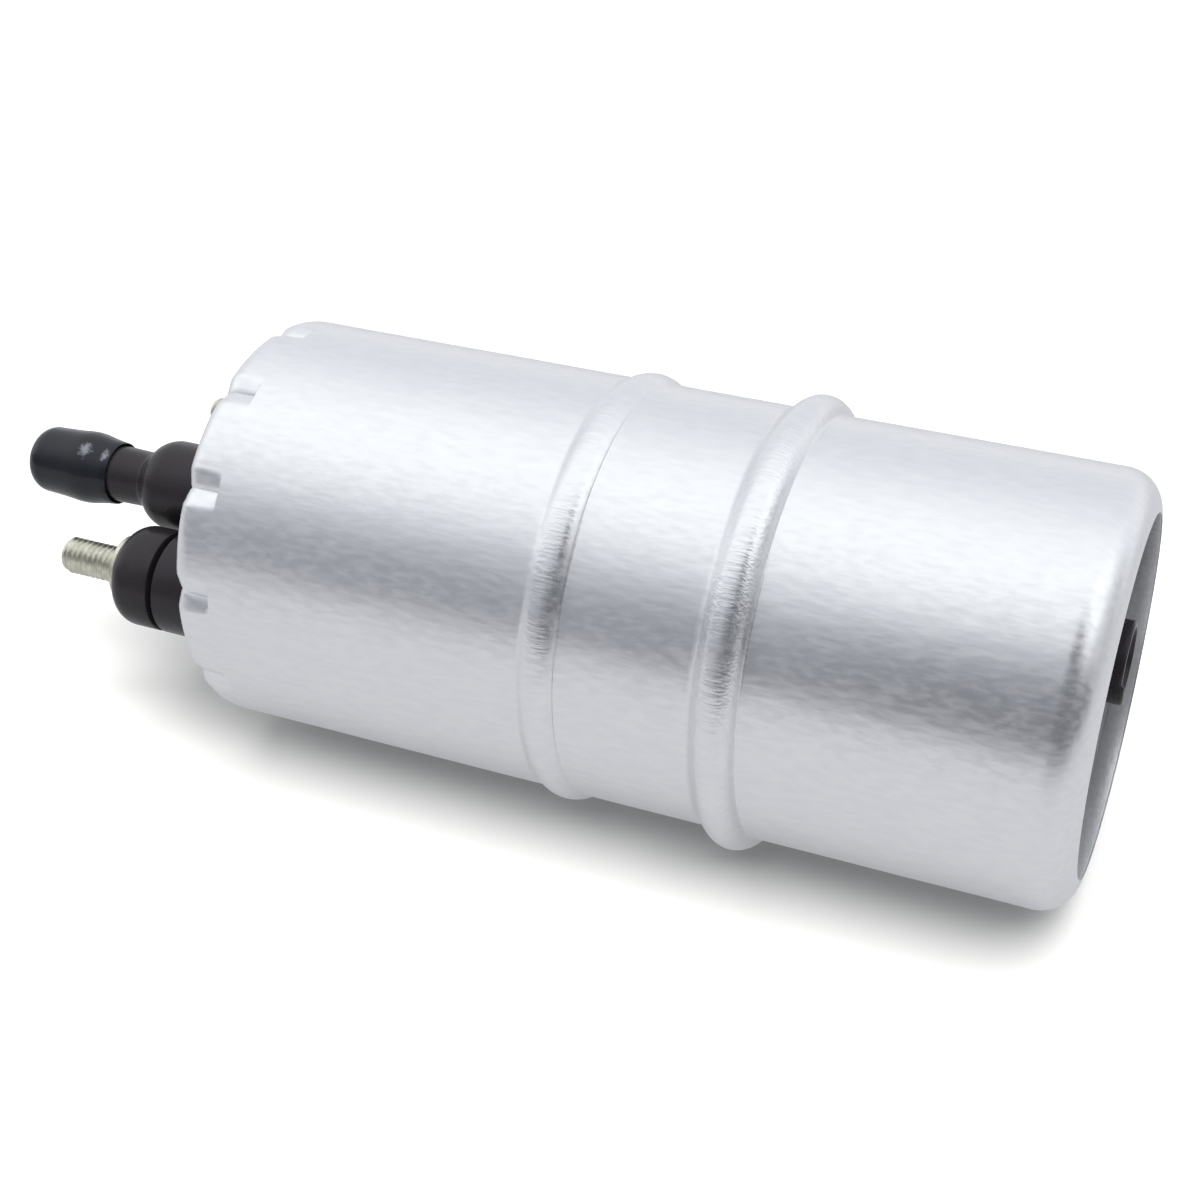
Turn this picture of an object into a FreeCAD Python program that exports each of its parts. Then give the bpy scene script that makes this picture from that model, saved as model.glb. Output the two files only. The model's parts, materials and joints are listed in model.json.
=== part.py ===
import FreeCAD, Part
import math
import os

# Electric in-line fuel pump lying on its side, in millimetres.
# The pump axis runs along X: the inlet opening faces +X, the outlet and terminals face -X, +Z is up.
# Stations along the axis are written from the inlet rim, which is x = 0 until the last step moves
# everything to its place over the origin. Radial places are written from the pump axis.

# Can
can_radius = 26.0
can_wall = 1.2
can_length = 110.8
inlet_opening_radius = 21.5
inlet_curl_radius = can_radius - inlet_opening_radius
# Each bead: its foot and flank angle on the inlet side, then on the outlet side, and its crest's radius.
tall_bead = (-37.7, 57.0, -43.4, 41.0, 2.15)
low_bead = (-59.6, 45.0, -64.3, 26.0, 2.4)
bead_soft_edge = 1.2
bead_sharp_edge = 0.3
crimp_corner_radius = 2.8
crimp_opening_radius = 21.6
crimp_lip = 1.4
crimp_slope_length = 4.5
crimp_slope_drop = 2.2
pocket_count = 12
pocket_first_angle = 5.8
pocket_length = 5.6
pocket_depth = 0.7
pocket_fall = 0.25
pocket_flank = 17.0
pocket_turn = 2.2
wedge_overlap = 0.4
wedge_step = 0.1
wedge_past = 0.7

# Fits
seat_gap = 0.15
running_gap = 0.05
press_gap = 0.02
# How far a cut runs past the face that it opens, and into the next cut
past = 1.0
into_next = 0.1

# Inlet housing, nipple and strainer
housing_plate_depth = 12.0
housing_plate = 7.0
housing_skirt_radius = 21.6
coring_angles = (-120.0, -60.0, 0.0, 60.0, 120.0)
coring_spread = 44.0
coring_inner_radius = 13.2
coring_outer_radius = 20.0
coring_depth = 2.2
nipple_y = 8.0
nipple_z = -0.45
nipple_radius = 5.1
nipple_bore = 3.0
nipple_below_rim = 0.38
nipple_chamfer = 0.25
nipple_foot = 0.5
nipple_tab = 0.38
nipple_tab_wall = 1.3
nipple_tab_angle = -36.0
nipple_tab_spread = 66.0
nipple_flange_radius = 6.8
nipple_flange = 2.0
inlet_channel = 2.4
strainer_thickness = 0.4
strainer_above_plate = 2.0
strainer_hole = 0.45
strainer_ring_counts = (6, 10)
strainer_ring_radii = (1.15, 2.2)

# Rotor set: inner lobes, eccentricity and the rounded lobe form
inner_lobe_count = 6
rotor_offset = 1.2
rotor_thickness = 8.0
rotor_side_gap = 0.04
tooth_pitch_radius = 12.0
tooth_radius = 4.0
mesh_gap = 0.06
outer_rotor_rim = 1.0
pump_ring_radius = can_radius - can_wall - seat_gap

# Port plate, and the two ports: suction above the axis, delivery below it
port_plate = 7.0
port_inner_radius = 7.4
port_outer_radius = 11.0
port_spread = 130.0
suction_angle = 90.0
channel_angle = 137.0
channel_spread = 150.0
channel_inner_radius = 3.0
delivery_angle = -90.0
dowel_radius = 1.25
dowel_angle = 40.0
dowel_seat = 3.0

# Relief valve in the inlet housing, over the delivery port
relief_radius_from_axis = 9.6
relief_ball = 1.6
relief_seat_hole = 1.0
relief_seat_wall = 1.5
relief_bore = 1.9
relief_plug = 1.2
relief_plug_hole = 0.6
relief_coil_radius = 1.2
relief_wire = 0.35
relief_turn_count = 3

# Motor
tube_wall = 2.2
tube_end_gap = 5.42
tube_from_port_plate = 0.5
magnet_thickness = 5.0
magnet_length = 40.0
magnet_angle = 130.0
magnet_gap = 0.05
air_gap = 0.55
core_length = 32.0
core_slot_count = 8
slot_width = 2.6
slot_mouth = 1.3
slot_depth = 8.0
tooth_tip = 1.6
clip_thickness = 0.8
clip_angle = 26.0
clip_end_gap = 6.0
shaft_radius = 2.5
journal_radius = 2.0
bearing_length = 5.0
bearing_outer_radius = 4.0
winding_length = 6.5
winding_inner_radius = 5.4
winding_outer_radius = 15.4
winding_slope = 2.5
winding_edge = 1.5
winding_to_bars = 1.0
coil_valley = 2.0
slot_liner = 0.15
commutator_radius = 14.5
commutator_bore_ring = 5.0
commutator_thickness = 3.6
commutator_bar_count = 8
commutator_slit = 0.6
commutator_slit_depth = 1.2
collar_radius = 4.4
collar_length = 1.2
collar_gap = 0.3
drive_flat = 1.7
drive_clearance = 0.05
shaft_end = 1.0
shaft_end_gap = 0.3

# Brushes on the terminal line
terminal_angle = -26.2
brush_radius_from_axis = 10.2
brush_across = 5.0
brush_along = 6.0
brush_length = 9.0
brush_clearance = 0.12
brush_guide_wall = 0.5
brush_guide_length = 13.0
brush_stick_out = 1.4
brush_guide_recess = 1.2
brush_wire = 0.45
brush_coil_radius = 2.0
brush_turn_count = 5
lead_radius = 0.5

# End cap
end_cap_thickness = 11.4
end_cap_gap = 0.1
brush_tower = 8.1
brush_tower_wall = 1.2
bearing_setback = 2.6
bearing_shelf = 0.6
bearing_boss_radius = 5.6
window_width = 3.6
window_length = 2.6
seal_section = 1.13
seal_gap = 0.03
seal_groove_width = 2.8
seal_from_lip = 6.4
terminal_pitch_radius = 13.42
terminal_boss_radius = 6.66
terminal_boss_height = 9.8
contact_thickness = 1.0
contact_margin = 1.0

# Terminals: the near one wears an insulating bush on a longer, thicker stud
insulator_groove = 0.9
insulator_neck_radius = 5.3
insulator_height = 6.4
insulator_corner = 2.8
washer_radius = 4.3
washer_thickness = 0.8
stud_rise = 0.5
near_stud_radius = 2.42
near_stud_pitch = 0.8
near_stud_stick_out = 9.1
far_stud_radius = 1.95
far_stud_pitch = 0.7
far_stud_stick_out = 7.3
thread_depth = 0.30
stud_head_radius = 3.6
stud_head = 1.4
stud_nose = 0.7

# Outlet fitting with its check valve
outlet_y = -0.7
outlet_z = 1.4
outlet_boss_radius = 6.05
outlet_boss_corner = 4.0
outlet_boss_height = 20.2
outlet_plug_radius = 4.9
outlet_plug_depth = 8.0
neck_root_radius = 3.7
neck_radius = 3.85
neck_length = 5.0
barb_radius = 3.98
barb_land = 0.5
barb_lead = 0.3
barb_edge_from_neck = 4.0
barb_length = 4.2
nose_radius = 3.6
nipple_end_from_rim = 35.6
outlet_bore = 2.2
valve_bore = 3.4
valve_chamber_depth = 16.0
seat_ring = 2.0
seat_hole = 1.6
check_ball = 2.4
check_wire = 0.4
check_coil_radius = 2.2
check_turn_count = 5

# Dust cap on the outlet nipple
cap_clearance = 0.04
cap_tip_from_rim = 36.95
cap_open_from_rim = 23.8
cap_bulge_from_open = 4.6
cap_body_from_open = 7.8
cap_shoulder_from_open = 10.2
cap_nose_length = 0.85
cap_flat_radius = 1.6
cap_open_radius = 4.25
cap_bulge_radius = 4.9
cap_bulge_reach = 1.0
cap_bulge_fall = 0.04
cap_body_radius = 4.65
cap_shoulder_radius = 4.52
cap_nose_radius = 3.55
cap_inner_corner = 0.4

# Worked-out places
can_inner = can_radius - can_wall
rim = -can_length
lip_face = rim + crimp_lip
plate_face = -housing_plate_depth
rotor_front = plate_face - housing_plate
rotor_back = rotor_front - rotor_thickness - 2 * rotor_side_gap
port_back = rotor_back - port_plate
tube_front = port_back - tube_from_port_plate
tube_inner = pump_ring_radius - tube_wall
cap_inner_face = lip_face + end_cap_thickness
tube_back = cap_inner_face + tube_end_gap
tower_end = cap_inner_face + brush_tower
brush_face = tower_end + brush_stick_out
commutator_back = brush_face + running_gap
boss_front = lip_face - terminal_boss_height
outer_rotor_radius = tooth_pitch_radius + tooth_radius + outer_rotor_rim
# The dowels stand midway between the pump ring's outside and its pocket.
dowel_radius_from_axis = (pump_ring_radius + outer_rotor_radius + rotor_offset) / 2
X = FreeCAD.Vector(1, 0, 0)


def vec(x, y=0.0, z=0.0):
    return FreeCAD.Vector(x, y, z)


def polar(radius, angle):
    # Place across the axis: angle 0 points to the near side (-Y), 90 points up.
    a = math.radians(angle)
    return -radius * math.cos(a), radius * math.sin(a)


def rod(x_start, x_end, radius, y=0.0, z=0.0):
    low, high = sorted((x_start, x_end))
    return Part.makeCylinder(radius, high - low, vec(low, y, z), X)


def tube(x_start, x_end, outer, inner, y=0.0, z=0.0):
    return rod(x_start, x_end, outer, y, z).cut(rod(x_start, x_end, inner, y, z))


def turned(pieces, y=0.0, z=0.0):
    # Turns a closed outline about the axis. Each piece is (x, r) or an arc's middle and end points.
    edges = []
    start = pieces[0]
    last = start
    for piece in pieces[1:] + [start]:
        if len(piece) == 4:
            middle, end = piece[:2], piece[2:]
            edges.append(Part.Arc(vec(last[0], 0, last[1]), vec(middle[0], 0, middle[1]),
                                  vec(end[0], 0, end[1])).toShape())
            last = end
        else:
            edges.append(Part.makeLine(vec(last[0], 0, last[1]), vec(piece[0], 0, piece[1])))
            last = piece
    face = Part.Face(Part.Wire(edges))
    solid = face.revolve(vec(0), X, 360)
    solid.translate(vec(0, y, z))
    return solid


def corner(x_centre, r_centre, radius, from_angle, to_angle):
    # An arc piece in the outline: angle 0 points along +X, 90 points away from the axis.
    def at(angle):
        a = math.radians(angle)
        return x_centre + radius * math.cos(a), r_centre + radius * math.sin(a)
    return at((from_angle + to_angle) / 2) + at(to_angle)


def bar(x_start, x_end, radius, angle, across, along):
    # A straight bar parallel to the axis. It is `across` wide in the radial direction.
    low, high = sorted((x_start, x_end))
    box = Part.makeBox(high - low, across, along, vec(low, -radius - across / 2, -along / 2))
    box.rotate(vec(0), X, -angle)
    return box


def sector(x_start, x_end, outer, inner, middle_angle, spread):
    # Part of a ring, centred on an angle.
    corners = [(x_start, inner), (x_end, inner), (x_end, outer), (x_start, outer), (x_start, inner)]
    face = Part.Face(Part.makePolygon([vec(x, -r, 0) for x, r in corners]))
    ring = face.revolve(vec(0), X, spread)
    ring.rotate(vec(0), X, -(middle_angle + spread / 2))
    return ring


def coil(x_start, x_end, radius, wire, turns, y=0.0, z=0.0):
    # A round-wire spring between two stations. Each half turn is a tilted half ring in line with the next.
    low, high = sorted((x_start, x_end))
    step = (high - low - 2 * wire) / (2 * turns)
    halves = []
    for index in range(2 * turns):
        side = -1 if index % 2 else 1
        start = low + wire + index * step
        section = Part.Face(Part.Wire(Part.makeCircle(wire, vec(start, side * radius, 0), vec(0, 0, 1))))
        centre = vec(start + step / 2, 0, 0)
        halves.append(section.revolve(centre, vec(radius, side * step / 2, 0), 180))
    spring = halves[0].multiFuse(halves[1:])
    spring.translate(vec(0, y, z))
    return spring


def thread(x_root, x_tip, radius, pitch, depth, y, z):
    # A turned stack of ridges that stands for the screw thread, with a rounded tip.
    root = radius - depth
    outline = [(x_root, 0.0), (x_root, root)]
    x = x_root
    while x - pitch > x_tip + stud_nose:
        outline.append((x - 0.45 * pitch, radius))
        outline.append((x - 0.55 * pitch, radius))
        outline.append((x - pitch, root))
        x -= pitch
    outline.append((x_tip + stud_nose, root))
    outline.append(corner(x_tip + stud_nose, root - stud_nose, stud_nose, 90, 180))
    outline.append((x_tip, 0.0))
    return turned(outline, y, z)


def bead_height(foot, slope, far_foot, far_slope, crest):
    # How high a round crest stands that lies between two straight flanks.
    a = math.radians(slope)
    b = math.radians(far_slope)
    span = foot - far_foot - crest * (math.tan(a / 2) + math.tan(b / 2))
    return span / (1 / math.tan(a) + 1 / math.tan(b))


def bead(foot, slope, far_foot, far_slope, crest, depth=0.0):
    # Outline pieces of a rolled bead, from its inlet side, at one depth in the sheet: flank, crest, flank.
    a = math.radians(slope)
    b = math.radians(far_slope)
    foot -= depth * math.tan(a / 2)
    far_foot += depth * math.tan(b / 2)
    radius = crest - depth
    height = bead_height(foot, slope, far_foot, far_slope, radius)
    x = foot - height / math.tan(a) - radius * math.tan(a / 2)
    base = can_radius - depth
    r = base + height - radius

    def at(angle):
        return x + radius * math.sin(angle), r + radius * math.cos(angle)
    return [(foot, base), at(a), at((a - b) / 2) + at(-b), (far_foot, base)]


def make_can():
    curl = inlet_curl_radius
    outline = [
        (0.0, inlet_opening_radius),
        corner(-curl, inlet_opening_radius, curl, 0, 90),
    ]
    outline += bead(*tall_bead) + bead(*low_bead)
    outline += [
        (rim + crimp_corner_radius, can_radius),
        corner(rim + crimp_corner_radius, can_radius - crimp_corner_radius, crimp_corner_radius, 90, 180),
        (rim, crimp_opening_radius),
        (lip_face, crimp_opening_radius),
        (lip_face, can_inner - crimp_slope_drop),
        (lip_face + crimp_slope_length, can_inner),
    ]
    outline += reverse(bead(*low_bead, can_wall)) + reverse(bead(*tall_bead, can_wall))
    outline += [
        (-curl, can_inner),
        corner(-curl, inlet_opening_radius, curl - can_wall, 90, 0),
    ]
    can = turned(outline)
    for foot, _, far_foot, _, _ in (tall_bead, low_bead):
        can = soften(can, foot, bead_sharp_edge)
        can = soften(can, far_foot, bead_soft_edge)
    return can.cut(crimp_pockets())


def reverse(pieces):
    # The same outline pieces in the other direction.
    foot, start, crest, far_foot = pieces
    return [far_foot, crest[2:], crest[:2] + start, foot]


def soften(solid, station, radius):
    # Rounds the outer circle of the can at one station.
    edges = []
    for edge in solid.Edges:
        box = edge.BoundBox
        if abs(box.XMin - station) < 1e-4 and box.XLength < 1e-4 and abs(box.ZMax - can_radius) < 1e-4:
            edges.append(edge)
    return solid.makeFillet(radius, edges)


def crimp_pockets():
    # Each pocket is staked by a blunt wedge, along the can's side and then round its folded corner.
    start = rim + pocket_length
    turn = rim + pocket_turn
    crease = can_radius - pocket_depth
    side = wedge(start, crease, turn - wedge_overlap, crease - pocket_fall)
    crease -= wedge_step
    fold = wedge(turn, crease, rim - wedge_past, crease - pocket_turn - wedge_past)
    stake = side.fuse(fold)
    pockets = []
    for index in range(pocket_count):
        pocket = stake.copy()
        pocket.rotate(vec(0), X, 90 - pocket_first_angle - index * 360.0 / pocket_count)
        pockets.append(pocket)
    return Part.makeCompound(pockets)


def wedge(x_start, r_start, x_end, r_end):
    # A blunt wedge whose edge runs from one (x, r) to another, and which stands out past the can.
    reach = 6.0
    top = r_start + reach * math.tan(math.radians(pocket_flank))
    outline = [vec(x_start, 0, r_start), vec(x_start, reach, top), vec(x_start, -reach, top)]
    face = Part.Face(Part.makePolygon(outline + outline[:1]))
    return face.extrude(vec(x_end - x_start, 0, r_end - r_start))


def make_inlet_housing():
    outer = pump_ring_radius
    seat = inlet_curl_radius - can_wall - seat_gap
    front = -can_wall - seat_gap
    body = turned([
        (front, housing_skirt_radius),
        corner(-inlet_curl_radius, outer - seat, seat, 0, 90),
        (rotor_front, outer),
        (rotor_front, 0.0),
        (plate_face, 0.0),
        (plate_face, housing_skirt_radius),
    ])
    body = body.cut(rod(plate_face + past, plate_face - nipple_flange, nipple_flange_radius + press_gap,
                        nipple_y, nipple_z))
    # The inlet channel goes from the nipple's seat out to the suction port.
    channel_back = plate_face - nipple_flange - inlet_channel
    body = body.cut(rod(plate_face, channel_back, nipple_bore, nipple_y, nipple_z))
    body = body.cut(sector(channel_back, plate_face - nipple_flange, port_outer_radius, channel_inner_radius,
                           channel_angle, channel_spread))
    body = body.cut(sector(rotor_front - past, channel_back + into_next, port_outer_radius, port_inner_radius,
                           suction_angle, port_spread))
    y, z = polar(relief_radius_from_axis, delivery_angle)
    body = body.cut(rod(relief_seat_face(), plate_face + past, relief_bore, y, z))
    body = body.cut(rod(rotor_front - past, relief_seat_face() + past, relief_seat_hole, y, z))
    for angle in coring_angles:
        body = body.cut(sector(plate_face - coring_depth, plate_face + past, coring_outer_radius,
                               coring_inner_radius, angle, coring_spread))
    return body.cut(dowels(rotor_front - past, rotor_front + dowel_seat))


def make_inlet_nipple():
    end = -nipple_below_rim
    body = turned([
        (end, nipple_bore + nipple_chamfer),
        (end, nipple_radius - nipple_chamfer),
        (end - nipple_chamfer, nipple_radius),
        (plate_face + nipple_foot, nipple_radius),
        (plate_face, nipple_radius + nipple_foot),
        (plate_face, nipple_flange_radius),
        (plate_face - nipple_flange, nipple_flange_radius),
        (plate_face - nipple_flange, nipple_bore),
        (end - nipple_chamfer, nipple_bore),
    ])
    tab = sector(end - 2 * nipple_chamfer, end + nipple_tab, nipple_radius, nipple_radius - nipple_tab_wall,
                 nipple_tab_angle, nipple_tab_spread)
    nipple = body.fuse(tab).removeSplitter()
    nipple.translate(vec(0, nipple_y, nipple_z))
    return nipple


def make_strainer():
    # A punched disc pressed into the nipple, part way down its bore.
    x = plate_face + strainer_above_plate
    disc = rod(x, x + strainer_thickness, nipple_bore - press_gap)
    holes = [rod(x - past, x + past, strainer_hole)]
    for count, radius in zip(strainer_ring_counts, strainer_ring_radii):
        for index in range(count):
            y, z = polar(radius, index * 360.0 / count)
            holes.append(rod(x - past, x + past, strainer_hole, y, z))
    strainer = disc.cut(Part.makeCompound(holes))
    strainer.translate(vec(0, nipple_y, nipple_z))
    return strainer


def relief_seat_face():
    return rotor_front + relief_seat_wall


def dowels(x_start, x_end):
    # Two locating pins through the stack, or the holes that they sit in.
    pins = []
    for angle in (dowel_angle, dowel_angle + 180):
        y, z = polar(dowel_radius_from_axis, angle)
        pins.append(rod(x_start, x_end, dowel_radius, y, z))
    return Part.makeCompound(pins)


def inner_lobe_points():
    # The curve that the ring's round teeth leave on the inner rotor while both turn in mesh.
    teeth = inner_lobe_count + 1
    roller = tooth_radius + mesh_gap
    steps = 20 * inner_lobe_count
    points = []
    for step in range(steps):
        t = 2 * math.pi * step / steps
        lean = math.atan2(math.sin(inner_lobe_count * t),
                          tooth_pitch_radius / (rotor_offset * teeth) - math.cos(inner_lobe_count * t))
        y = tooth_pitch_radius * math.cos(t) - roller * math.cos(t - lean)
        z = tooth_pitch_radius * math.sin(t) - roller * math.sin(t - lean)
        points.append((y - rotor_offset * math.cos(teeth * t), z - rotor_offset * math.sin(teeth * t)))
    return points


def smooth_disc(points, x_start, x_end):
    curve = Part.BSplineCurve()
    curve.interpolate([vec(x_start, y, z) for y, z in points], True)
    face = Part.Face(Part.Wire(curve.toShape()))
    return face.extrude(vec(x_end - x_start))


def rotor_slab(side):
    # Both rotors share the same two faces, clear of the plates.
    return (rotor_front - rotor_side_gap, rotor_back + rotor_side_gap)[side]


def make_inner_rotor():
    disc = smooth_disc(inner_lobe_points(), rotor_slab(1), rotor_slab(0))
    return disc.cut(drive_end(rotor_slab(1) - past, rotor_slab(0) + past, drive_clearance))


def drive_end(x_start, x_end, clearance):
    # The shaft's end with its two flats, or the hole that it drives.
    half = drive_flat + clearance
    flats = Part.makeBox(x_end - x_start, 2 * half, 4 * journal_radius,
                         vec(x_start, -half, -2 * journal_radius))
    return rod(x_start, x_end, journal_radius + clearance).common(flats)


def make_outer_rotor():
    # The ring's teeth are the roller circles, joined by arcs that clear the inner lobes.
    teeth = inner_lobe_count + 1
    ring = rod(rotor_slab(1), rotor_slab(0), outer_rotor_radius)
    bore = tooth_pitch_radius - tooth_radius + 2 * rotor_offset + 2 * mesh_gap
    ring = ring.cut(rod(rotor_slab(1) - past, rotor_slab(0) + past, bore))
    for index in range(teeth):
        a = 2 * math.pi * index / teeth
        y, z = tooth_pitch_radius * math.cos(a), tooth_pitch_radius * math.sin(a)
        ring = ring.fuse(rod(rotor_slab(1), rotor_slab(0), tooth_radius, y, z))
    ring = ring.removeSplitter()
    ring.translate(vec(0, -rotor_offset, 0))
    return ring


def make_pump_ring():
    ring = rod(rotor_back, rotor_front, pump_ring_radius)
    ring = ring.cut(rod(rotor_back - past, rotor_front + past, outer_rotor_radius + running_gap,
                        -rotor_offset, 0))
    return ring.cut(dowels(rotor_back - past, rotor_front + past))


def make_dowels():
    return dowels(rotor_back - dowel_seat + seat_gap, rotor_front + dowel_seat - seat_gap)


def make_port_plate():
    plate = tube(port_back, rotor_back, pump_ring_radius, bearing_outer_radius)
    plate = plate.cut(sector(port_back - past, rotor_back + past, port_outer_radius, port_inner_radius,
                             delivery_angle, port_spread))
    return plate.cut(dowels(rotor_back - dowel_seat, rotor_back + past))


def make_relief_parts():
    y, z = polar(relief_radius_from_axis, delivery_angle)
    drop = math.sqrt(relief_ball ** 2 - relief_seat_hole ** 2)
    centre = relief_seat_face() + drop + press_gap
    plug_back = plate_face - relief_plug
    reach = math.sqrt(relief_ball ** 2 - (relief_coil_radius - relief_wire) ** 2)
    ball = Part.makeSphere(relief_ball, vec(centre, y, z))
    plug = tube(plug_back, plate_face, relief_bore - press_gap, relief_plug_hole, y, z)
    spring = coil(centre + reach + press_gap, plug_back - press_gap, relief_coil_radius, relief_wire / 2,
                  relief_turn_count, y, z)
    return ball, plug, spring


def make_flux_tube():
    return tube(tube_back, tube_front, pump_ring_radius, tube_inner)


def magnet_span():
    middle = core_front() - core_length / 2
    return middle - magnet_length / 2, middle + magnet_length / 2


def core_back():
    return commutator_back + commutator_thickness + winding_length + winding_to_bars


def core_front():
    return core_back() + core_length


def make_magnet(middle_angle):
    low, high = magnet_span()
    outer = tube_inner - magnet_gap
    return sector(low, high, outer, outer - magnet_thickness, middle_angle, magnet_angle)


def make_magnet_clips():
    low, high = magnet_span()
    outer = tube_inner - magnet_gap
    inner = outer - clip_thickness
    clips = []
    for angle in (terminal_angle, terminal_angle + 180):
        clips.append(sector(low + clip_end_gap, high - clip_end_gap, outer, inner, angle, clip_angle))
    return Part.makeCompound(clips)


def core_radius():
    return tube_inner - magnet_gap - magnet_thickness - air_gap


def slot_middle():
    return core_radius() - tooth_tip - slot_depth / 2


def make_core():
    outer = core_radius()
    core = tube(core_back(), core_front(), outer, shaft_radius)
    for index in range(core_slot_count):
        angle = index * 360.0 / core_slot_count
        slot = bar(core_back() - past, core_front() + past, slot_middle(), angle, slot_depth, slot_width)
        mouth = bar(core_back() - past, core_front() + past, outer, angle, 2.5 * tooth_tip, slot_mouth)
        core = core.cut(slot).cut(mouth)
    return core


def make_windings():
    # Two end bundles joined by the copper that fills the slots.
    bundles = []
    for face, side in ((core_back(), -1), (core_front(), 1)):
        far = face + side * winding_length
        bundle = turned([
            (face, winding_inner_radius),
            (face, winding_outer_radius),
            (far - side * winding_slope, winding_outer_radius),
            (far, winding_outer_radius - winding_slope),
            (far, winding_inner_radius + winding_edge),
            (far - side * winding_edge, winding_inner_radius),
        ])
        for index in range(core_slot_count):
            angle = (index + 0.5) * 360.0 / core_slot_count
            dip = bar(far, face + side * winding_edge, winding_outer_radius, angle, coil_valley, coil_valley)
            bundle = bundle.cut(dip)
        bundles.append(bundle)
    copper = bundles[0]
    for index in range(core_slot_count):
        angle = index * 360.0 / core_slot_count
        fill = bar(core_back() - 0.5, core_front() + 0.5, slot_middle(), angle,
                   slot_depth - 2 * slot_liner, slot_width - 2 * slot_liner)
        copper = copper.fuse(fill)
    return copper.fuse(bundles[1])


def make_commutator():
    front = commutator_back + commutator_thickness
    disc = tube(commutator_back, front, commutator_radius, commutator_bore_ring)
    for index in range(commutator_bar_count):
        angle = (index + 0.5) * 360.0 / commutator_bar_count
        slit = bar(commutator_back - past, commutator_back + commutator_slit_depth, commutator_radius, angle,
                   2 * (commutator_radius - commutator_bore_ring), commutator_slit)
        disc = disc.cut(slit)
    hub = tube(commutator_back, front, commutator_bore_ring, shaft_radius)
    return disc, hub


def rear_bearing_span():
    back = cap_inner_face + bearing_setback
    return back, back + bearing_length


def front_bearing_span():
    return port_back, port_back + bearing_length


def make_shaft():
    rear_low, rear_high = rear_bearing_span()
    front_low, front_high = front_bearing_span()
    body = rod(rear_high + collar_gap, front_low - collar_gap, shaft_radius)
    rear = rod(rear_low - shaft_end, rear_high + collar_gap, journal_radius)
    front = rod(front_low - collar_gap, rotor_slab(1), journal_radius)
    drive = drive_end(rotor_slab(1), rotor_slab(0) - shaft_end_gap, 0.0)
    return body.fuse([rear, front, drive]).removeSplitter()


def make_thrust_washers():
    rear_high = rear_bearing_span()[1]
    front_low = front_bearing_span()[0]
    rear = tube(rear_high + collar_gap, rear_high + collar_gap + collar_length, collar_radius, shaft_radius)
    front = tube(front_low - collar_gap - collar_length, front_low - collar_gap, collar_radius, shaft_radius)
    return Part.makeCompound([rear, front])


def make_bearing(span):
    return tube(span[0], span[1], bearing_outer_radius, journal_radius + running_gap)


def brush_back():
    return brush_face - brush_length


def guide_back():
    return brush_face - brush_guide_recess - brush_guide_length


def contact_place():
    return guide_back() - contact_thickness, guide_back()


def brush_pocket(extra):
    across = brush_across + 2 * (brush_clearance + brush_guide_wall) + extra
    along = brush_along + 2 * (brush_clearance + brush_guide_wall) + extra
    return across, along


def make_end_cap():
    outer = can_inner - end_cap_gap
    fall = crimp_slope_drop
    cap = turned([
        (lip_face, 0.0),
        (lip_face, outer - fall),
        (lip_face + crimp_slope_length, outer),
        (cap_inner_face, outer),
        (cap_inner_face, 0.0),
    ])
    groove_x = lip_face + seal_from_lip
    cap = cap.cut(tube(groove_x - seal_groove_width / 2, groove_x + seal_groove_width / 2,
                       outer + past, can_inner - 2 * seal_section - 2 * seal_gap))
    rear_low, rear_high = rear_bearing_span()
    cap = cap.fuse(rod(cap_inner_face - 0.5, rear_high, bearing_boss_radius))
    across, along = brush_pocket(2 * brush_tower_wall)
    for angle in (terminal_angle, terminal_angle + 180):
        cap = cap.fuse(bar(cap_inner_face - 0.5, tower_end, brush_radius_from_axis, angle, across, along))
        y, z = polar(terminal_pitch_radius, angle)
        cap = cap.fuse(rod(boss_front, lip_face + 0.5, terminal_boss_radius, y, z))
    # Openings: bearing seat, chamber behind it with its side windows, plug socket, brush pockets, studs.
    cap = cap.cut(rod(rear_low, rear_high + past, bearing_outer_radius))
    cap = cap.cut(rod(socket_end(), rear_low + into_next, bearing_outer_radius - bearing_shelf))
    cap = cap.cut(rod(socket_end(), lip_face - past, outlet_plug_radius, outlet_y, outlet_z))
    for angle in (terminal_angle + 90, terminal_angle - 90):
        cap = cap.cut(bar(cap_inner_face, cap_inner_face + window_length, bearing_boss_radius, angle,
                          bearing_boss_radius, window_width))
    across, along = brush_pocket(0.0)
    for angle in (terminal_angle, terminal_angle + 180):
        cap = cap.cut(bar(guide_back(), brush_face, brush_radius_from_axis, angle, across, along))
        cap = cap.cut(contact_solid(angle))
        cap = cap.cut(stud_path(angle))
    return cap


def socket_end():
    return lip_face + outlet_plug_depth


def stud_radius(angle):
    return near_stud_radius if angle == terminal_angle else far_stud_radius


def stud_centre(angle):
    y, z = polar(terminal_pitch_radius, angle)
    return y, z + stud_rise


def contact_solid(angle):
    # The strip under the brush spring that carries the current out to the stud's head.
    low, high = contact_place()
    inner = brush_radius_from_axis - brush_across / 2
    outer = terminal_pitch_radius + stud_head_radius
    return bar(low, high, (inner + outer) / 2, angle, outer - inner, brush_along + contact_margin)


def stud_path(angle):
    y, z = stud_centre(angle)
    low = contact_place()[0]
    outside = boss_front - insulator_groove - insulator_height - near_stud_stick_out
    return rod(outside, low, stud_radius(angle), y, z).fuse(
        rod(low - stud_head, low, stud_head_radius, y, z))


def make_contact(angle):
    return contact_solid(angle)


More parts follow.
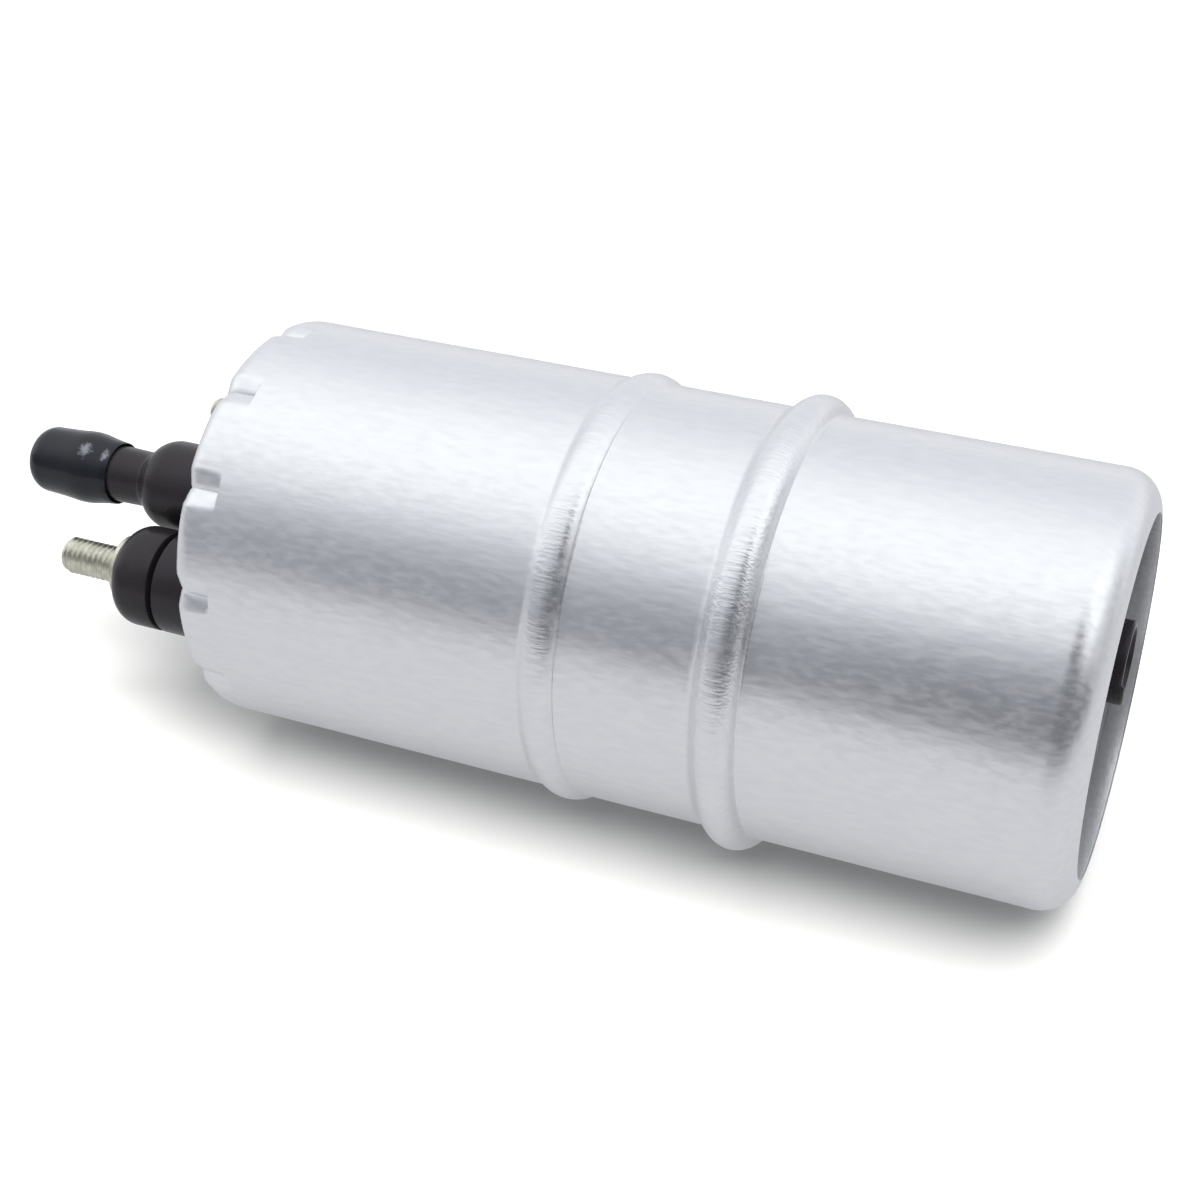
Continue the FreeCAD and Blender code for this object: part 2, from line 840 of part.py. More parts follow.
def make_stud(angle):
    y, z = stud_centre(angle)
    radius = stud_radius(angle)
    low = contact_place()[0]
    head = rod(low - stud_head, low, stud_head_radius, y, z)
    washer_back = washer_place(angle)[0]
    shank = rod(washer_back + 0.2, low - stud_head, radius, y, z)
    out = near_stud_stick_out if angle == terminal_angle else far_stud_stick_out
    pitch = near_stud_pitch if angle == terminal_angle else far_stud_pitch
    screw = thread(washer_back + 0.2, washer_back - out, radius, pitch, thread_depth, y, z)
    return head.fuse([shank, screw]).removeSplitter()


def washer_place(angle):
    face = boss_front
    if angle == terminal_angle:
        face = boss_front - insulator_groove - insulator_height
    return face - washer_thickness, face


def make_washer(angle):
    y, z = stud_centre(angle)
    low, high = washer_place(angle)
    return tube(low, high, washer_radius, stud_radius(angle) + press_gap, y, z)


def make_insulator():
    y, z = polar(terminal_pitch_radius, terminal_angle)
    back = boss_front - insulator_groove
    front = back - insulator_height
    c = insulator_corner
    body = turned([
        (boss_front, 0.0),
        (boss_front, insulator_neck_radius),
        (back, insulator_neck_radius),
        (back, terminal_boss_radius),
        (front + c, terminal_boss_radius),
        corner(front + c, terminal_boss_radius - c, c, 90, 180),
        (front, 0.0),
    ], y, z)
    sy, sz = stud_centre(terminal_angle)
    return body.cut(rod(front - past, boss_front + past, near_stud_radius + press_gap, sy, sz))


def make_seal():
    centre = can_inner - seal_gap - seal_section
    return Part.makeTorus(centre, seal_section, vec(lip_face + seal_from_lip), X)


def make_outlet_fitting():
    front = lip_face - outlet_boss_height
    c = outlet_boss_corner
    end = rim - nipple_end_from_rim
    barb_edge = front - neck_length - barb_edge_from_neck
    chamber_end = socket_end() - valve_chamber_depth
    return turned([
        (socket_end(), valve_bore),
        (socket_end(), outlet_plug_radius - press_gap),
        (lip_face, outlet_plug_radius - press_gap),
        (lip_face, outlet_boss_radius),
        (front + c, outlet_boss_radius),
        corner(front + c, outlet_boss_radius - c, c, 90, 145),
        (front - barb_lead, neck_root_radius),
        (barb_edge + barb_lead, neck_radius),
        (barb_edge, barb_radius),
        (barb_edge - barb_land, barb_radius),
        (barb_edge - barb_length, nose_radius),
        (end + barb_land, nose_radius),
        (end, nose_radius - barb_land),
        (end, outlet_bore),
        (chamber_end - valve_bore + outlet_bore, outlet_bore),
        (chamber_end, valve_bore),
    ], outlet_y, outlet_z)


def seat_ring_face():
    return socket_end() - seat_ring


def make_valve_seat():
    return tube(seat_ring_face(), socket_end(), valve_bore - press_gap, seat_hole, outlet_y, outlet_z)


def check_ball_centre():
    return seat_ring_face() - math.sqrt(check_ball ** 2 - seat_hole ** 2) - press_gap


def make_check_ball():
    return Part.makeSphere(check_ball, vec(check_ball_centre(), outlet_y, outlet_z))


def make_check_spring():
    chamber_end = socket_end() - valve_chamber_depth
    reach = math.sqrt(check_ball ** 2 - (check_coil_radius - check_wire) ** 2)
    return coil(chamber_end + press_gap, check_ball_centre() - reach - press_gap, check_coil_radius,
                check_wire / 2, check_turn_count, outlet_y, outlet_z)


def make_dust_cap():
    # Its bore clears the barb all the way out, so that it pulls off without stretching.
    tip = rim - cap_tip_from_rim
    mouth = rim - cap_open_from_rim
    bulge = mouth - cap_bulge_from_open
    bore = barb_radius + cap_clearance
    bore_end = rim - nipple_end_from_rim - cap_clearance
    return turned([
        (mouth, bore),
        (mouth, cap_open_radius),
        (bulge + cap_bulge_reach, cap_bulge_radius - cap_bulge_fall),
        (bulge, cap_bulge_radius, bulge - cap_bulge_reach, cap_bulge_radius - cap_bulge_fall),
        (mouth - cap_body_from_open, cap_body_radius),
        (mouth - cap_shoulder_from_open, cap_shoulder_radius),
        (tip + cap_nose_length, cap_nose_radius, tip, cap_flat_radius),
        (tip, 0.0),
        (bore_end, 0.0),
        (bore_end, bore - cap_inner_corner),
        (bore_end + cap_inner_corner, bore),
    ], outlet_y, outlet_z)


def make_brush(angle):
    return bar(brush_back(), brush_face, brush_radius_from_axis, angle, brush_across, brush_along)


def make_brush_guide(angle):
    across, along = brush_pocket(-2 * press_gap)
    outer = bar(guide_back(), brush_face - brush_guide_recess, brush_radius_from_axis, angle, across, along)
    inner = bar(guide_back() - past, brush_face, brush_radius_from_axis, angle,
                brush_across + 2 * brush_clearance, brush_along + 2 * brush_clearance)
    return outer.cut(inner)


def make_brush_spring(angle):
    y, z = polar(brush_radius_from_axis, angle)
    return coil(guide_back() + press_gap, brush_back() - press_gap, brush_coil_radius, brush_wire / 2,
                brush_turn_count, y, z)


def make_brush_lead(angle):
    y, z = polar(brush_radius_from_axis, angle)
    return rod(guide_back() + press_gap, brush_back() - press_gap, lead_radius, y, z)


def build():
    relief_ball_solid, relief_plug_solid, relief_spring = make_relief_parts()
    commutator, commutator_hub = make_commutator()
    far_angle = terminal_angle + 180
    nodes = {
        "can": make_can(),
        "inlet_housing": make_inlet_housing(),
        "inlet_nipple": make_inlet_nipple(),
        "inlet_strainer": make_strainer(),
        "pump_ring": make_pump_ring(),
        "outer_rotor": make_outer_rotor(),
        "inner_rotor": make_inner_rotor(),
        "port_plate": make_port_plate(),
        "dowel_pins": make_dowels(),
        "relief_ball": relief_ball_solid,
        "relief_plug": relief_plug_solid,
        "relief_spring": relief_spring,
        "front_bearing": make_bearing(front_bearing_span()),
        "rear_bearing": make_bearing(rear_bearing_span()),
        "flux_tube": make_flux_tube(),
        "upper_magnet": make_magnet(terminal_angle + 90),
        "lower_magnet": make_magnet(terminal_angle - 90),
        "magnet_clips": make_magnet_clips(),
        "armature_shaft": make_shaft(),
        "armature_core": make_core(),
        "armature_windings": make_windings(),
        "commutator": commutator,
        "commutator_hub": commutator_hub,
        "thrust_washers": make_thrust_washers(),
        "end_cap": make_end_cap(),
        "end_cap_seal": make_seal(),
        "outlet_fitting": make_outlet_fitting(),
        "valve_seat": make_valve_seat(),
        "check_ball": make_check_ball(),
        "check_spring": make_check_spring(),
        "dust_cap": make_dust_cap(),
        "terminal_insulator": make_insulator(),
    }
    for side, angle in (("near", terminal_angle), ("far", far_angle)):
        nodes[side + "_stud"] = make_stud(angle)
        nodes[side + "_washer"] = make_washer(angle)
        nodes[side + "_contact"] = make_contact(angle)
        nodes[side + "_brush"] = make_brush(angle)
        nodes[side + "_brush_guide"] = make_brush_guide(angle)
        nodes[side + "_brush_spring"] = make_brush_spring(angle)
        nodes[side + "_brush_lead"] = make_brush_lead(angle)
    return nodes


def main():
    os.makedirs("parts", exist_ok=True)
    overall = can_length + cap_tip_from_rim
    shift = vec(overall / 2, 0, can_radius + bead_height(*tall_bead))
    for name, shape in build().items():
        shape.translate(shift)
        if not shape.isValid():
            print("not valid:", name)
        shape.exportStep("parts/" + name + ".step")


main()
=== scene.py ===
import json
import math

import bpy
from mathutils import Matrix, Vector, noise


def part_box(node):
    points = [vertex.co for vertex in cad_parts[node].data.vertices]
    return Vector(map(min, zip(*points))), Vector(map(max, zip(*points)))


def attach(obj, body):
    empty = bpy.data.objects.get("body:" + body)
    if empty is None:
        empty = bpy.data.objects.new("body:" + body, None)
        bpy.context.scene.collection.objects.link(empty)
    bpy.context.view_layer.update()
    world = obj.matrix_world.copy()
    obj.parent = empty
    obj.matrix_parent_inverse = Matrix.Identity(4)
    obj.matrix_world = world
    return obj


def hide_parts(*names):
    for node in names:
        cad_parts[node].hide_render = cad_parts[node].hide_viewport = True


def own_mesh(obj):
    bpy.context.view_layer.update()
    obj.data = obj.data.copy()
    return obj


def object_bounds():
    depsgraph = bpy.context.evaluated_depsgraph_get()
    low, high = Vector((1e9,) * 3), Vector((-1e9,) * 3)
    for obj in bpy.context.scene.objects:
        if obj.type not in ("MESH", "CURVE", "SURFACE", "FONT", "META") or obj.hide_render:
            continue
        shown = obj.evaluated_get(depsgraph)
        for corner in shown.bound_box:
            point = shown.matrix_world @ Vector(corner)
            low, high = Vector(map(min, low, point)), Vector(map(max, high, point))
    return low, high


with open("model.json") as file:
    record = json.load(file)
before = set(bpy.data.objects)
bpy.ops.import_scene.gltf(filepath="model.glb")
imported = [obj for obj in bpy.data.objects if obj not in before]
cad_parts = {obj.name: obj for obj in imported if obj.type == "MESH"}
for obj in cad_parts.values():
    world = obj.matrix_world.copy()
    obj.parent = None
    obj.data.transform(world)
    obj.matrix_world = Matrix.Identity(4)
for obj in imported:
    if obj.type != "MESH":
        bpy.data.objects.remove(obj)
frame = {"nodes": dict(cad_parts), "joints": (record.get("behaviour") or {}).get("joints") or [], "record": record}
cad_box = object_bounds()


# The photograph's camera: it stands in front of the pump, to the right of its middle and above it.
# Its place and lens come from fitting the rim, the beads and the terminals of the photograph.
MM = 0.001
axis_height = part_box("can")[1].z / 2
eye = Vector((88.98, -192.7, axis_height / MM + 129.2)) * MM
sight = Vector((-0.3231, 0.7814, -0.5339))
camera_data = bpy.data.cameras.new("camera")
camera_data.sensor_width = 36.0
camera_data.sensor_fit = "HORIZONTAL"
camera_data.lens = 58.77
camera_data.clip_start = 0.01
camera_data.clip_end = 20.0
camera = bpy.data.objects.new("camera", camera_data)
camera.location = eye
camera.rotation_euler = sight.to_track_quat("-Z", "Y").to_euler()
bpy.context.scene.collection.objects.link(camera)
bpy.context.scene.camera = camera


# The can: drawn steel tube, plated and left satin. Two beads are rolled into it, the inlet rim is
# curled in, and the outlet end is folded over the end cap and staked with twelve wedge marks.
# Sizes are in millimetres, with x from the inlet rim, and angles in degrees.
inlet_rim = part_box("can")[1].x
can_radius = 26.0
can_wall = 1.2
can_length = 110.8


class Signal:
    """A socket of a material's node tree that takes part in arithmetic."""

    def __init__(self, socket):
        self.socket = socket
        self.tree = socket.id_data

    def node(self, kind, settings=None, sockets=None, output=0):
        return add_node(self.tree, kind, settings, sockets, output)

    def math(self, operation, *values):
        sockets = dict(enumerate(values))
        return self.node("ShaderNodeMath", {"operation": operation}, sockets)

    def __add__(self, other):
        return self.math("ADD", self, other)

    def __radd__(self, other):
        return self.math("ADD", other, self)

    def __sub__(self, other):
        return self.math("SUBTRACT", self, other)

    def __rsub__(self, other):
        return self.math("SUBTRACT", other, self)

    def __mul__(self, other):
        return self.math("MULTIPLY", self, other)

    def __rmul__(self, other):
        return self.math("MULTIPLY", other, self)

    def __truediv__(self, other):
        return self.math("DIVIDE", self, other)

    def __rtruediv__(self, other):
        return self.math("DIVIDE", other, self)

    def __pow__(self, other):
        return self.math("POWER", self, other)

    def between(self, low, high):
        """0 below low, 1 above high, and smooth from one to the other."""
        return self.node("ShaderNodeMapRange", {"interpolation_type": "SMOOTHSTEP"},
                         {"Value": self, "From Min": low, "From Max": high})


def add_node(tree, kind, settings=None, sockets=None, output=0):
    """Adds one node: its settings first, then the values or links of its sockets."""
    node = tree.nodes.new(kind)
    for name, value in (settings or {}).items():
        if name == "stops":
            fill_ramp(node.color_ramp, value)
        else:
            setattr(node, name, value)
    for name, value in (sockets or {}).items():
        if isinstance(value, Signal):
            tree.links.new(value.socket, node.inputs[name])
        else:
            node.inputs[name].default_value = value
    return Signal(node.outputs[output]) if node.outputs else node


def fill_ramp(ramp, stops):
    """Each stop is a place from 0 to 1 and the colour there."""
    while len(ramp.elements) > 1:
        ramp.elements.remove(ramp.elements[-1])
    for index, (place, colour) in enumerate(stops):
        element = ramp.elements[0] if index == 0 else ramp.elements.new(place)
        element.position = place
        element.color = colour + (1.0,)


class Finish:
    """One material with a Principled shader, and the object's own coordinates in millimetres."""

    def __init__(self, name, **constants):
        self.material = bpy.data.materials.new(name)
        self.material.use_nodes = True
        self.tree = self.material.node_tree
        self.shader = self.tree.nodes["Principled BSDF"]
        for socket, value in constants.items():
            self.shader.inputs[socket.replace("_", " ")].default_value = value
        metres = add_node(self.tree, "ShaderNodeTexCoord", output=3)
        self.place = metres.node("ShaderNodeVectorMath", {"operation": "SCALE"},
                                 {0: metres, 3: 1000.0})
        self.axes = self.place.node("ShaderNodeSeparateXYZ", None, {0: self.place}).socket.node

    def along(self, axis):
        return Signal(self.axes.outputs[axis])

    def stretched(self, x, y, z):
        """The same coordinates, squeezed or stretched along each axis."""
        return self.place.node("ShaderNodeVectorMath", {"operation": "MULTIPLY"},
                               {0: self.place, 1: (x, y, z)})

    def noise(self, scale, detail, rough, place=None):
        return self.place.node("ShaderNodeTexNoise", {"noise_dimensions": "3D"},
                               {"Vector": place or self.place, "Scale": scale,
                                "Detail": detail, "Roughness": rough})

    def mix(self, factor, low, high):
        """One colour fading to another."""
        return self.place.node("ShaderNodeMix", {"data_type": "RGBA"},
                               {0: factor, 6: low, 7: high}, 2)

    def set(self, **signals):
        for socket, signal in signals.items():
            self.tree.links.new(signal.socket, self.shader.inputs[socket.replace("_", " ")])

    def bump(self, *layers):
        """Each layer is a height in millimetres and its strength."""
        normal = None
        for height, strength in layers:
            sockets = {"Height": height, "Strength": strength, "Distance": MM}
            if normal:
                sockets["Normal"] = normal
            normal = self.place.node("ShaderNodeBump", None, sockets)
        self.set(Normal=normal)


def arc(x_centre, r_centre, radius, from_angle, to_angle, steps):
    """Points of an outline's arc: angle 0 points along +X, 90 away from the axis."""
    points = []
    for step in range(steps + 1):
        angle = math.radians(from_angle + (to_angle - from_angle) * step / steps)
        points.append((x_centre + radius * math.cos(angle), r_centre + radius * math.sin(angle)))
    return points


def run(x_start, x_end, radius, steps):
    """Points of an outline's straight stretch, parallel to the axis."""
    return [(x_start + (x_end - x_start) * step / steps, radius) for step in range(steps + 1)]


def placed(start, points):
    """Points of an outline whose x is given from a starting place."""
    return [(start + x, r) for x, r in points]


def turned_mesh(name, outline, segments, y=0.0, z=0.0, shape=None, closed=True, sharp=50.0,
                first_angle=0.0):
    """Turns an outline of (x, r) in millimetres from the inlet rim about an axis along X.

    shape(x, r, angle) may move a point, with the angle from the near side upwards. An angle
    between faces over sharp stays an edge."""
    mesh = bpy.data.meshes.new(name)
    points = []
    rings = []
    for x, r in outline:
        count = segments if r > 0.0 else 1
        rings.append((len(points), count))
        for index in range(count):
            angle = first_angle + 360.0 * index / segments
            px, pr = shape(x, r, angle) if shape else (x, r)
            a = math.radians(angle)
            points.append((inlet_rim + px * MM, (y - pr * math.cos(a)) * MM,
                           axis_height + (z + pr * math.sin(a)) * MM))
    faces = []
    pairs = len(rings) if closed else len(rings) - 1
    for index in range(pairs):
        (a, many_a), (b, many_b) = rings[index], rings[(index + 1) % len(rings)]
        for step in range(segments):
            after = (step + 1) % segments
            corners = [a + step % many_a, b + step % many_b, b + after % many_b, a + after % many_a]
            faces.append(tuple(dict.fromkeys(corners)))
    faces = [face for face in faces if len(face) > 2]
    mesh.from_pydata(points, [], faces)
    mesh.validate()
    return finish_mesh(name, mesh, sharp)


def finish_mesh(name, mesh, sharp):
    """Smooths a mesh but for its edges, and puts it in the scene."""
    mesh.shade_smooth()
    mesh.set_sharp_from_angle(angle=math.radians(sharp))
    piece = bpy.data.objects.new(name, mesh)
    bpy.context.scene.collection.objects.link(piece)
    return piece


def dress(piece, material, body, slot, *nodes):
    """Gives a piece its material and the body it rides on, and hides the solids it stands for."""
    piece.data.materials.append(material)
    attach(piece, body)
    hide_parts(*nodes)


def flank(start, end, steps=3):
    """Points of a straight stretch between two points, without its ends."""
    return [tuple(a + (b - a) * step / steps for a, b in zip(start, end)) for step in range(1, steps)]


def rolled_bead(foot, slope, far_foot, far_slope, crest, sharp=0.3, soft=1.2):
    """A bead from its inlet side: sharp foot, straight flank, round crest, flank, soft foot."""
    a, b = math.radians(slope), math.radians(far_slope)
    span = foot - far_foot - crest * (math.tan(a / 2) + math.tan(b / 2))
    height = span / (1 / math.tan(a) + 1 / math.tan(b))
    middle = foot - height / math.tan(a) - crest * math.tan(a / 2)
    start = arc(foot + sharp * math.tan(a / 2), can_radius + sharp, sharp, 270, 270 - slope, 5)
    top = arc(middle, can_radius + height - crest, crest, 90 - slope, 90 + far_slope, 28)
    end = arc(far_foot - soft * math.tan(b / 2), can_radius + soft, soft, 270 + far_slope, 270, 8)
    return start + flank(start[-1], top[0]) + top + flank(top[-1], end[0]) + end


rim = -can_length
curl = 4.5
opening_radius = can_radius - curl
corner_radius = 2.8
fold_opening = 21.6
fold_thickness = 1.4
stake_end = rim + 5.6
stake_count = 12
stake_first = 5.8
stake_depth = 0.74
stake_fall = 0.08
stake_flank = 20.0
stake_lean = 50.0
stake_fade = 0.25
crease_depth = 0.12
crease_reach = 0.35
wave_start = -6.0
wave_end = -104.0
wave_height = 0.035
waves_along = 0.09
waves_around = 2.4

# Each bead's foot and slope on the inlet side, the same on the outlet side, and its crest's radius.
tall_bead = (-37.7, 62.0, -43.4, 46.0, 2.6)
low_bead = (-59.6, 54.0, -64.3, 33.0, 3.1)

can_outline = arc(-curl, opening_radius, curl, 0, 90, 28)
can_outline += run(wave_start, -36.0, can_radius, 10)
can_outline += rolled_bead(*tall_bead)
can_outline += run(-46.0, -58.0, can_radius, 4)
can_outline += rolled_bead(*low_bead)
can_outline += run(-67.0, stake_end + 0.6, can_radius, 10)
can_outline += [(stake_end + 0.05, can_radius)]
can_outline += run(stake_end, rim + corner_radius, can_radius, 8)
can_outline += arc(rim + corner_radius, can_radius - corner_radius, corner_radius, 90, 180, 22)[1:]
can_outline += placed(rim, [(0.0, fold_opening + 1.0), (0.0, fold_opening + 0.4)])
can_outline += placed(rim, [(0.15, fold_opening + 0.1), (0.5, fold_opening)])
can_outline += placed(rim, [(fold_thickness, fold_opening), (fold_thickness, fold_opening + 1.0)])
can_outline += [(stake_end + 0.3, can_radius - can_wall)]
can_outline += [(-40.0, can_radius - can_wall), (-curl, can_radius - can_wall)]
can_outline += arc(-curl, opening_radius, curl - can_wall, 90, 0, 16)[1:]
can_outline += [(-0.75, opening_radius + 0.05), (-0.25, opening_radius + 0.02)]


def stake_mark(x, r, angle):
    """Presses the wedge marks into the folded end, and leaves the drawn tube's slight waves."""
    if can_radius - corner_radius <= r < can_radius + 0.02 and wave_end < x < wave_start:
        a = math.radians(angle)
        where = Vector((x * waves_along, math.cos(a) * waves_around, math.sin(a) * waves_around))
        r += noise.noise(where) * wave_height
    if x > stake_end - 0.01 or r < fold_opening + 1.3:
        return x, r
    spacing = 360.0 / stake_count
    offset = (angle - stake_first + spacing / 2) % spacing - spacing / 2
    depth = stake_depth + stake_fall * min(1.0, (stake_end - x) / (stake_end - rim - corner_radius))
    half_width = depth / math.tan(math.radians(stake_flank))
    across = abs(math.radians(offset) * r) / half_width
    if across >= 1:
        return x, r
    fold = max(0.0, rim + corner_radius - x) / corner_radius
    lean = math.radians(stake_lean * fold)
    crease = crease_depth * max(0.0, 1 - across * half_width / crease_reach)
    dent = (depth * (1 - across) + crease) * (1 - stake_fade * fold)
    return x + dent * math.sin(lean), r - dent * math.cos(lean)


can = turned_mesh("can_shell", can_outline, 432, shape=stake_mark, sharp=30.0,
                  first_angle=stake_first)

plate = Finish("satin_plate", Metallic=1.0)
across_y = plate.along(1)
across_z = plate.along(2) - axis_height / MM
from_axis = (across_y * across_y + across_z * across_z) ** 0.5
crest = from_axis.between(can_radius + 0.25, can_radius + 1.1)
flake = plate.noise(0.45, 1.0, 0.5, plate.stretched(0.6, 1.0, 1.0))
mottle = plate.noise(1.0, 1.0, 0.4, plate.stretched(0.4, 1.3, 1.3))
spangle = plate.noise(1.0, 2.0, 0.5, plate.stretched(0.55, 1.5, 1.5)).between(0.36, 0.70)
drawn = plate.noise(1.0, 1.0, 0.5, plate.stretched(0.2, 3.0, 3.0))
grain = plate.noise(4.0, 1.0, 0.5)
tone = plate.mix(mottle.between(0.3, 0.7), (0.815, 0.82, 0.84, 1), (0.845, 0.848, 0.862, 1))
plate.set(Base_Color=tone, Roughness=0.272 + 0.02 * mottle + 0.115 * spangle + 0.02 * grain)
plate.bump((flake, 0.04), (mottle, 0.026), (drawn, 0.003 + 0.085 * crest), (grain, 0.002))
dress(can, plate.material, "pump_body", "plated_steel", "can")


# The inlet housing: a grey casting pressed into the inlet end. Its skirt lines the can under the
# curled rim, and its face carries the relief valve's plug and the nipple.
casting = Finish("cast_housing", Metallic=0.75)
pits = casting.noise(1.6, 4.0, 0.6)
sand = casting.noise(6.0, 2.0, 0.5)
dull = casting.mix(pits.between(0.3, 0.7), (0.48, 0.49, 0.51, 1), (0.56, 0.565, 0.585, 1))
casting.set(Base_Color=dull, Roughness=0.29 + 0.06 * sand)
casting.bump((pits, 0.06), (sand, 0.03))

lip_outline = [(-0.12, 21.52), (-0.16, 21.44), (-0.3, 21.42), (-2.4, 21.42), (-2.6, 21.5)]
lip_outline += [(-2.6, 21.58), (-1.2, 21.56)]
lip = turned_mesh("housing_lip", lip_outline, 240)
dress(lip, casting.material, "pump_body", "die_cast")


# The inlet nipple: a black moulded post in the housing's face, with a raised tab on part of its
# mouth. A strainer disc is pressed into its bore.
moulding = Finish("black_moulding", IOR=1.5, Specular_IOR_Level=0.30)
swirl = moulding.noise(0.35, 3.0, 0.6)
skin = moulding.noise(5.0, 3.0, 0.6)
black = moulding.mix(swirl, (0.0085, 0.007, 0.0083, 1), (0.013, 0.011, 0.0123, 1))
moulding.set(Base_Color=black, Roughness=0.22 + 0.10 * skin)
moulding.bump((skin, 0.03), (swirl, 0.06))

housing_face = -12.0
collar_radius = 6.8
post_y = 8.0
post_z = -0.45
post_radius = 5.1
post_bore = 3.0
post_end = -0.38
tab_angle = -36.0
tab_half_spread = 33.0
tab_slope = 2.0
tab_rise = 0.38
tab_wall = 0.6
mouth_depth = 2.0
mouth_radius = post_radius - tab_wall
post_outline = placed(housing_face, [(-2.0, post_bore), (-2.0, collar_radius)])
post_outline += placed(housing_face, [(0.0, collar_radius), (0.0, 5.7)])
post_outline += placed(housing_face, [(0.15, 5.3), (0.6, post_radius), (6.0, post_radius)])
post_outline += [(post_end - 0.8, post_radius)]
post_outline += arc(post_end - 0.3, post_radius - 0.3, 0.3, 90, 0, 6)
post_outline += placed(post_end, [(0.0, mouth_radius + 0.05), (0.0, mouth_radius - 0.05)])
post_outline += placed(post_end, [(-0.15, mouth_radius - 0.15), (-mouth_depth, post_bore)])


def raised_tab(x, r, angle):
    """Lifts the tab's stretch of the mouth."""
    if x < post_end - 0.35 or r < mouth_radius:
        return x, r
    offset = abs((angle - tab_angle + 180) % 360 - 180)
    return x + tab_rise * min(1.0, max(0.0, (tab_half_spread - offset) / tab_slope)), r


post = turned_mesh("inlet_post", post_outline, 180, post_y, post_z, shape=raised_tab, sharp=45.0)
dress(post, moulding.material, "pump_body", "black_moulding", "inlet_nipple")


# The outlet fitting: glass-filled plastic, plugged into the end cap, with a domed boss and a
# barbed nipple that runs on under the dust cap.
outlet_y = -0.7
outlet_z = 1.4
outlet_bore = 2.2
boss_radius = 6.05
boss_dome = 4.0
boss_end = rim - 18.8
nipple_end = rim - 35.6
cap_face = rim + fold_thickness
outlet_outline = [(cap_face, outlet_bore), (cap_face, boss_radius)]
outlet_outline += arc(boss_end + boss_dome, boss_radius - boss_dome, boss_dome, 90, 142, 14)
outlet_outline += placed(boss_end, [(0.25, 4.02), (-0.1, 3.78), (-0.5, 3.72), (-4.0, 3.80)])
outlet_outline += placed(boss_end, [(-8.7, 3.85), (-9.0, 3.98), (-9.5, 3.98), (-13.2, 3.6)])
outlet_outline += placed(nipple_end, [(0.5, 3.6), (0.15, 3.45), (0.0, 3.1), (0.0, 2.4)])
outlet_outline += [(nipple_end + 0.2, outlet_bore)]
outlet = turned_mesh("outlet_nipple", outlet_outline, 128, outlet_y, outlet_z)
dress(outlet, moulding.material, "pump_body", "black_moulding", "outlet_fitting")


# The dust cap: a soft plastic cap pushed over the outlet nipple. It is tight at its mouth and
# bulges a little over the nipple's barb.
cap_mouth = rim - 23.8
cap_tip = rim - 36.95
cap_rounding = 2.6
cap_outline = placed(cap_mouth, [(-0.12, 4.02), (0.0, 4.08), (0.02, 4.18), (-0.12, 4.25)])
cap_outline += placed(cap_mouth, [(-1.2, 4.36), (-2.6, 4.62), (-3.7, 4.83), (-4.6, 4.90)])
cap_outline += placed(cap_mouth, [(-5.6, 4.87), (-6.8, 4.74), (-8.0, 4.65), (-10.2, 4.53)])
cap_outline += arc(cap_tip + cap_rounding, 1.92, cap_rounding, 88, 180, 16)
cap_outline += [(cap_tip, 0.9), (cap_tip, 0.0)]
cap_outline += placed(nipple_end, [(-0.04, 0.0), (-0.04, 3.7), (0.4, 4.02)])
cap = turned_mesh("outlet_dust_cap", cap_outline, 128, outlet_y, outlet_z)
rubbery = Finish("cap_plastic", IOR=1.5, Specular_IOR_Level=0.36)
dust = rubbery.noise(0.5, 3.0, 0.6)
ragged = rubbery.noise(1.5, 3.0, 0.7)

# Two painted highlights: pale patches in the cap's colour that stand in for reflections of light on its upper
# side.
highlight_place = 4.85
highlight_angle = 60.0
highlight_reach = 1.9
highlight_strength = 0.55


def painted_highlight(x, length, width):
    """A painted highlight on the cap's side, 1 in its middle, with a ragged edge."""
    a = math.radians(highlight_angle)
    middle_y = outlet_y - highlight_place * math.cos(a)
    middle_z = axis_height / MM + outlet_z + highlight_place * math.sin(a)
    along = (rubbery.along(0) - (inlet_rim / MM + x)) / length
    around = (rubbery.along(1) - middle_y) / width
    over = (rubbery.along(2) - middle_z) / width
    distance = (along * along + around * around + over * over) ** 0.5
    return (highlight_reach - distance - ragged * highlight_reach).between(0.0, 0.8)


# The two painted highlights are mixed into the cap's black as a pale bluish colour.
painted_highlights = painted_highlight(-138.3, 1.2, 1.5) + painted_highlight(-135.4, 0.7, 1.4)
coal = rubbery.mix(dust, (0.003, 0.0037, 0.0058, 1), (0.006, 0.0072, 0.0105, 1))
cap_with_highlights = rubbery.mix(painted_highlights * highlight_strength, coal, (0.20, 0.21, 0.24, 1))
rubbery.set(Base_Color=cap_with_highlights, Roughness=0.10 + 0.10 * dust)
rubbery.bump((dust, 0.05))
dress(cap, rubbery.material, "cap", "cap_plastic", "dust_cap")


# The near terminal's bush: a black plastic collar on the end cap's boss. A narrow groove parts
# the two, and its outer edge is well rounded.
terminal_reach = 13.42
terminal_angle = math.radians(-26.2)
near_y = -terminal_reach * math.cos(terminal_angle)
near_z = terminal_reach * math.sin(terminal_angle)
near_boss = 9.8
groove = 0.9
groove_radius = 5.3
bush_bore = 2.45
bush_radius = 6.66
bush_rounding = 2.8
bush_back = cap_face - near_boss - groove
bush_front = bush_back - 6.4
bush_outline = [(bush_back + groove, bush_bore), (bush_back + groove, groove_radius)]
bush_outline += placed(bush_back, [(0.0, groove_radius), (0.0, 6.45), (-0.06, 6.6)])
bush_outline += [(bush_back - 0.2, bush_radius)]
bush_outline += arc(bush_front + bush_rounding, bush_radius - bush_rounding, bush_rounding, 90, 180, 16)
bush_outline += [(bush_front, bush_bore)]
bush = turned_mesh("terminal_bush", bush_outline, 128, near_y, near_z)
dress(bush, moulding.material, "pump_body", "black_moulding", "terminal_insulator")


